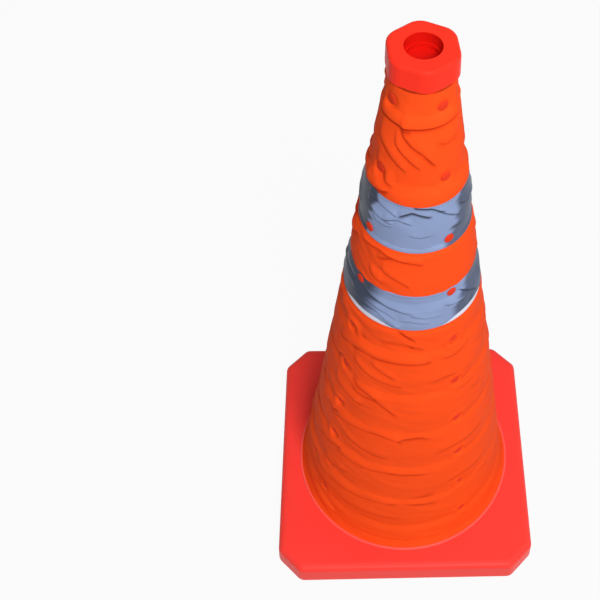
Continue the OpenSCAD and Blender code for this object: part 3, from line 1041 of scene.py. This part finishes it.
@dataclass
class Band:
    """A strip of reflective tape sewn round the sleeve, stiff enough to break into crisp folds.

    Spans, lean, ragged and the turns of the drawn folds are in degrees. The margin of the drawn
    folds is in millimetres, as the folds are.
    """

    name: str
    node: str
    sleeve: Sleeve
    seed: int
    front_folds: tuple[Fold, ...]
    drawn: int
    backing: float = 0.0
    backing_left: Span = Span(-80.0, -12.0, 22.0, 26.0)
    backing_right: Span = Span(18.0, 84.0, 24.0, 22.0)
    backing_back: Span = Span(110.0, math.inf, 20.0, 1.0)
    backing_mean: float = 0.4
    backing_behind: float = 0.6
    backing_step: float = 0.25 * MM
    backing_edge: float = 0.4 * MM
    # Spans of the shade painted at the sides, in degrees, then the darker patches behind.
    shaded_left: Span = Span(-150.0, -52.0, 20.0, 6.0)
    shaded_right: Span = Span(37.0, 140.0, 10.0, 20.0)
    shaded_right_share: float = 0.8
    back_patch_from: float = 95.0
    back_patch_gain: float = 2.0
    back_patch_share: float = 0.6
    lean: float = 14.0
    lean_right: float = 1.5
    ragged: float = 8.0
    ragged_rate: float = 110.0
    face: float = 1.4 * MM
    edge: float = 0.45 * MM
    edge_width: float = 2.0 * MM
    sewn_width: float = 5.0 * MM
    sewn_share: float = 0.25
    around: int = 520
    rows: int = 100
    hidden_rows: int = 6
    seam: float = 3.6 * MM
    seam_width: float = 0.45 * MM
    groove: float = 0.3 * MM
    gain: float = 1.4
    billow: float = 0.3 * MM
    lowest: float = -0.8 * MM
    highest: float = 1.8 * MM
    clear: float = 0.1 * MM
    tuck: float = 0.2 * MM
    wobble: float = 0.45 * MM
    drawn_margin: float = 4.0
    drawn_turns: tuple[float, float] = (84.0, 270.0)

    def edges(self) -> tuple[float, float]:
        """Heights of the strip's lower and upper edge."""
        low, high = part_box(self.node)
        return low.z, high.z

    def backing_height(self, turn: Array) -> Array:
        """How far the white backing shows below the grey film: at the left, right and back."""
        a = np.degrees(turned(turn, 0.0))
        sides = np.maximum(self.backing_left.share(a), self.backing_right.share(a))
        patches = np.clip(self.backing_mean + slow_wave(turn, self.seed + 5, 6), 0, 1)
        behind = self.backing_back.share(np.abs(a)) * patches
        return self.backing * np.maximum(sides, self.backing_behind * behind)

    def side_shade_and_patches(self, turn: Array, z: Array) -> Array:
        """Where the film is painted darker: at the sides as painted shade, up to slanting ragged
        edges, and in patches behind.

        The edges lean by some degrees over the strip's height and are ragged by a slow wave.

        Args:
            turn: angles of the columns.
            z: heights of the rows.

        Returns:
            The painted side shade and the patches behind as shares from 0 to 1.
        """
        low, high = self.edges()
        a = np.degrees(turned(turn, 0.0))
        lean = self.lean * ((z - low) / (high - low) - 0.5)
        ragged = self.ragged * slow_wave(self.ragged_rate * z, self.seed + 9, 6)
        left_end = self.shaded_left.high + lean + ragged
        right_end = self.shaded_right.low + self.lean_right * lean - ragged
        left = replace(self.shaded_left, high=left_end).share(a)
        right = replace(self.shaded_right, low=right_end).share(a)
        patches = self.back_patch_gain * Ripple(1, 6, self.seed + 7, 6).at(turn, z)
        behind = np.clip(patches, 0, 1) * (np.abs(a) > self.back_patch_from)
        sides = np.maximum(left, self.shaded_right_share * right)
        return np.maximum(sides, self.back_patch_share * behind)

    def relief(self, turn: Array, z: Array) -> Relief:
        """The strip's folds: those of the front by place, and drawn ones behind."""
        low, high = (edge / MM for edge in self.edges())
        drawn = FoldMaker(
            self.seed,
            self.drawn,
            low + self.drawn_margin,
            high - self.drawn_margin,
            *self.drawn_turns,
            length=(16, 44),
            strength=(0.3, 0.9),
            sharp=0.6,
        )
        relief = Relief(turn, z)
        for fold in [*self.front_folds, *drawn.folds()]:
            fold.press(relief)
        return relief

    def piece(self) -> bpy.types.Object:
        """Builds the strip as a closed loop of tape with a front, a back and two edges.

        The front's radius is that of the rings' outline plus the tape's height, its folds, a groove
        along each seam, and a small step down from the grey film to the backing. It thins out
        towards both edges, and its folds are lower near the seams and none at the pegs.

        Returns:
            The piece.
        """
        low, high = self.edges()
        turn, z = columns(self.around), np.linspace(low, high, self.rows)
        relief = self.relief(turn, z)
        rest = self.sleeve.rest_radius(z)
        t, h = turn[:, None], z[None, :]
        hold, _ = self.sleeve.peg_hold(turn, z, rest)
        free, inset = 1 - hold, np.minimum(h - low, high - h)
        taper = np.sqrt(np.clip(inset / self.edge_width, 0, 1))
        give = self.sewn_share + (1 - self.sewn_share) * eased(inset / self.sewn_width)
        waves = self.billow * Ripple(2, 30, self.seed + 1, 7).at(t, h)
        folded = np.clip(self.gain * relief.out + waves, self.lowest, self.highest)
        places = (low + self.seam, high - self.seam)
        seams = sum(np.exp(-(((h - place) / self.seam_width) ** 2)) for place in places)
        bare = eased((low + self.backing_height(t) - h) / self.backing_edge) * (self.backing > 0)
        film = 1 - bare
        out = self.face - self.edge * (1 - taper) + free * give * folded
        out = out - self.groove * seams * film - self.backing_step * bare
        radius = rest[None, :] + np.maximum(out, self.sleeve.under_band + self.clear)
        height = np.broadcast_to(h, radius.shape) + self.wobble * slow_wave(t, self.seed + 2, 8)
        hidden = np.linspace(self.rows - 1, 0, self.hidden_rows).astype(int)
        inner = (rest[None, :] + self.sleeve.under_band - self.tuck)[:, hidden]
        front, back = wrapped(t, radius, height), wrapped(t, inner, height[:, hidden])
        full = {
            # Painted shade: the film darker at the sides, with darker patches behind.
            "side_shade_and_patches": self.side_shade_and_patches(t, h),
            # Painted shade in the fold valleys of the film.
            "fold": np.clip(relief.deep * free * film, 0, 1),
            "backing": bare,
            "seam": seams * film,
        }
        values = {k: np.concatenate([v, v[:, hidden]], axis=1) for k, v in full.items()}
        uv = self.sleeve.flat_map(turn, np.concatenate([z, z[hidden]]))
        return loop_mesh(self.name, np.concatenate([front, back], axis=1), uv, values)

    def lay(self, fold_away: FoldAway, tape: bpy.types.Material) -> None:
        """Args:
            fold_away: how the cloth lies when the rings are down.
            tape: the strip's material.
        """
        piece = self.piece()
        piece.data.materials.append(tape)
        low, high = self.edges()
        wide = 2 * math.pi * float(self.sleeve.rest_radius(np.array([low]))[0])
        LOG.info("%s: %d faces", self.name, len(piece.data.polygons))
        fold_away.apply(piece)
        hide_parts(self.node)


# ---------------------------------------------------------------- the scene around it


@dataclass(frozen=True)
class Lamp:
    """A square area lamp. Its size is the length of its side, and its power is in watts."""

    name: str
    place: tuple[float, float, float]
    aim: tuple[float, float, float]
    size: float
    watts: float

    def hang(self) -> None:
        """Adds the lamp, turned to the point that it faces."""
        data = bpy.data.lights.new(self.name, "AREA")
        data.shape, data.size, data.energy = "SQUARE", self.size, self.watts
        lamp = bpy.data.objects.new(self.name, data)
        bpy.context.scene.collection.objects.link(lamp)
        lamp.location = self.place
        facing = Vector(self.aim) - Vector(self.place)
        lamp.rotation_euler = facing.to_track_quat("-Z", "Y").to_euler()


@dataclass
class Studio:
    """Camera, floor, background, a soft key lamp in front, and a weak lamp at the right."""

    turn: float = math.radians(4.26)
    elevation: float = math.radians(54.64)
    roll: float = math.radians(3.04)
    distance: float = 0.9958
    aim: tuple[float, float, float] = (0.00226, 0.0, 0.4191)
    lens: float = 62.64
    sensor: float = 36.0
    shift: tuple[float, float] = (-0.1909, -0.0453)
    clip: tuple[float, float] = (0.01, 50.0)
    key: Lamp = Lamp("key", (0.36, -1.49, 2.27), (0, 0, 0.3), 0.8, 55.5)
    side: Lamp = Lamp("side", (1.9, 0.1, 1.2), (0, 0, 0.3), 1.2, 8.0)
    dim: float = 0.36
    floor_half: float = 6.0
    floor_grey: float = 0.45
    floor_white: float = 0.94

    def camera(self) -> None:
        """Sets the camera at the photograph's angle, round the cone's axis by `turn`."""
        back = Vector((0, -math.cos(self.elevation), math.sin(self.elevation)))
        right = Vector((1, 0, 0))
        up = right.cross(-back)
        tilted_right = right * math.cos(self.roll) + up * math.sin(self.roll)
        tilted_up = up * math.cos(self.roll) - right * math.sin(self.roll)
        place = Vector(self.aim) + back * self.distance
        axes = Matrix((tilted_right, tilted_up, back)).transposed().to_4x4()
        data = bpy.data.cameras.new("camera")
        data.lens, data.sensor_width = self.lens, self.sensor
        data.shift_x, data.shift_y = self.shift
        data.clip_start, data.clip_end = self.clip
        camera = bpy.data.objects.new("camera", data)
        bpy.context.scene.collection.objects.link(camera)
        turned_back = Matrix.Rotation(-self.turn, 4, "Z")
        camera.matrix_world = turned_back @ Matrix.Translation(place) @ axes
        bpy.context.scene.camera = camera

    def background(self) -> None:
        """Makes the world white to the camera and a dim even light to everything else."""
        world = bpy.data.worlds.new("world")
        bpy.context.scene.world = world
        world.use_nodes = True
        nodes, links = world.node_tree.nodes, world.node_tree.links
        nodes.clear()
        path = nodes.new("ShaderNodeLightPath")
        seen = nodes.new("ShaderNodeMath")
        seen.operation, seen.use_clamp = "ADD", True
        through = nodes.new("ShaderNodeMath")
        through.operation = "ADD"
        links.new(path.outputs["Is Camera Ray"], through.inputs[0])
        links.new(path.outputs["Is Transmission Ray"], through.inputs[1])
        links.new(through.outputs[0], seen.inputs[0])
        links.new(path.outputs["Is Glossy Ray"], seen.inputs[1])
        strength = nodes.new("ShaderNodeMapRange")
        links.new(seen.outputs[0], strength.inputs["Value"])
        strength.inputs["To Min"].default_value = self.dim
        strength.inputs["To Max"].default_value = 1.0
        shade = nodes.new("ShaderNodeBackground")
        links.new(strength.outputs[0], shade.inputs["Strength"])
        output = nodes.new("ShaderNodeOutputWorld")
        links.new(shade.outputs[0], output.inputs[0])

    def floor(self) -> None:
        """Lays a white floor that shows mostly as white to the camera and keeps a soft shadow."""
        half, grey = self.floor_half, self.floor_grey
        corners = [(-half, -half, 0), (half, -half, 0), (half, half, 0), (-half, half, 0)]
        mesh = bpy.data.meshes.new("floor")
        mesh.from_pydata(corners, [], [(0, 1, 2, 3)])
        floor = bpy.data.objects.new("floor", mesh)
        bpy.context.scene.collection.objects.link(floor)
        tree = NodeTree("floor_white")
        diffuse = tree.add("ShaderNodeBsdfDiffuse", Color=(grey, grey, grey, 1.0))
        glow = tree.add("ShaderNodeEmission", Strength=1.0)
        path = tree.add("ShaderNodeLightPath")
        seen = tree.math("MAXIMUM", path.outputs["Is Camera Ray"], path.outputs["Is Glossy Ray"])
        seen = tree.math("MAXIMUM", seen, path.outputs["Is Transmission Ray"])
        share = tree.math("MULTIPLY", seen, self.floor_white)
        mix = tree.add("ShaderNodeMixShader")
        tree.join(share, mix.inputs[0])
        tree.join(diffuse.outputs[0], mix.inputs[1])
        tree.join(glow.outputs[0], mix.inputs[2])
        tree.join(mix.outputs[0], tree.output.inputs[0])
        mesh.materials.append(tree.material)

    def build(self) -> None:
        """Sets up everything that isn't the cone."""
        self.camera()
        self.key.hang()
        self.side.hang()
        self.background()
        self.floor()
        bpy.context.scene.view_settings.view_transform = "Standard"


# ---------------------------------------------------------------- the carried-over solids


@dataclass
class Dresser:
    """Puts finishes on the frame's own solids."""

    moulded: MouldedPlastic = MouldedPlastic(
        "coral_plastic", (1.0, 0.054, 0.041), (0.97, 0.046, 0.034)
    )
    cap: MouldedPlastic = MouldedPlastic(
        "cap_plastic", (0.98, 0.036, 0.017), (0.96, 0.032, 0.014), gloss=0.08
    )
    cover: MouldedPlastic = MouldedPlastic(
        "cover_plastic", (0.60, 0.045, 0.025), (0.5, 0.035, 0.02), roughness=0.6
    )
    # Painted highlight: the hem ring is a lighter copy of the base's red, standing in for the
    # bright line along its edge; its higher gloss is real.
    hem: MouldedPlastic = MouldedPlastic(
        "hem_highlight_plastic", (1.0, 0.110, 0.085), (0.97, 0.090, 0.070), roughness=0.3, gloss=0.4
    )
    ring: MouldedPlastic = MouldedPlastic(
        "ring_plastic", (0.85, 0.10, 0.03), (0.75, 0.08, 0.02), roughness=0.55
    )
    peg: MouldedPlastic = MouldedPlastic(
        "peg_plastic", (0.80, 0.048, 0.016), (0.70, 0.040, 0.012), roughness=0.6, gloss=0.05
    )
    rubber: MouldedPlastic = MouldedPlastic(
        "foot_rubber", (0.035, 0.035, 0.035), (0.02, 0.02, 0.02), roughness=0.85
    )
    steel: MouldedPlastic = MouldedPlastic(
        "screw_zinc", (0.6, 0.6, 0.6), (0.45, 0.45, 0.45), roughness=0.35
    )
    # The cap's socket, whose inside is painted with shade.
    socket_radius: float = 14.9 * MM
    socket_depth: float = 0.6 * MM

    def dress(self, material: bpy.types.Material, names: list[str]) -> None:
        """Gives solids one material.

        Args:
            material: the material.
            names: the solids' names.
        """
        for name in names:
            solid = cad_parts[name]
            solid.data.materials.clear()
            solid.data.materials.append(material)

    def build(self) -> None:
        """Dresses every solid that no cloth stands for."""
        self.dress(self.moulded.build(), ["base_shell"])
        self.dress(self.hem.build(), ["hem_ring"])
        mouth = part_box("cap")[1].z - self.socket_depth
        cap = replace(self.cap, socket=(self.socket_radius, mouth))
        self.dress(cap.build(), ["cap"])
        self.dress(self.cover.build(), ["base_plate"])
        self.dress(self.ring.build(), [f"ring_{i:02d}" for i in range(LAST_RING + 1)])
        self.dress(self.peg.build(), [f"pegs_{row:02d}" for row in range(1, PEG_ROWS + 1)])
        self.dress(self.rubber.build(), ["rubber_feet"])
        self.dress(self.steel.build(), ["base_screws"])


def main() -> None:
    """Builds the cone's looks piece by piece."""
    logging.basicConfig(level=logging.INFO, format="%(name)s: %(message)s")
    Studio().build()
    Dresser().build()
    fold_away = FoldAway()
    cloth, tape = SleeveCloth().build(), ReflectiveTape().build()
    sleeve = Sleeve(RingStack())
    lower = Band(
        "tape_lower",
        "lower_band",
        sleeve,
        seed=301,
        front_folds=LOWER_BAND_FOLDS,
        drawn=26,
        backing=6.5 * MM,
        shaded_left=Span(-150.0, -30.0, 20.0, 20.0),
    )
    upper = Band(
        "tape_upper", "upper_band", sleeve, seed=302, front_folds=UPPER_BAND_FOLDS, drawn=30
    )
    sleeve.covered = [lower.edges(), upper.edges()]
    sleeve.lay(fold_away, cloth)
    lower.lay(fold_away, tape)
    upper.lay(fold_away, tape)


if __name__ == "__main__":
    main()
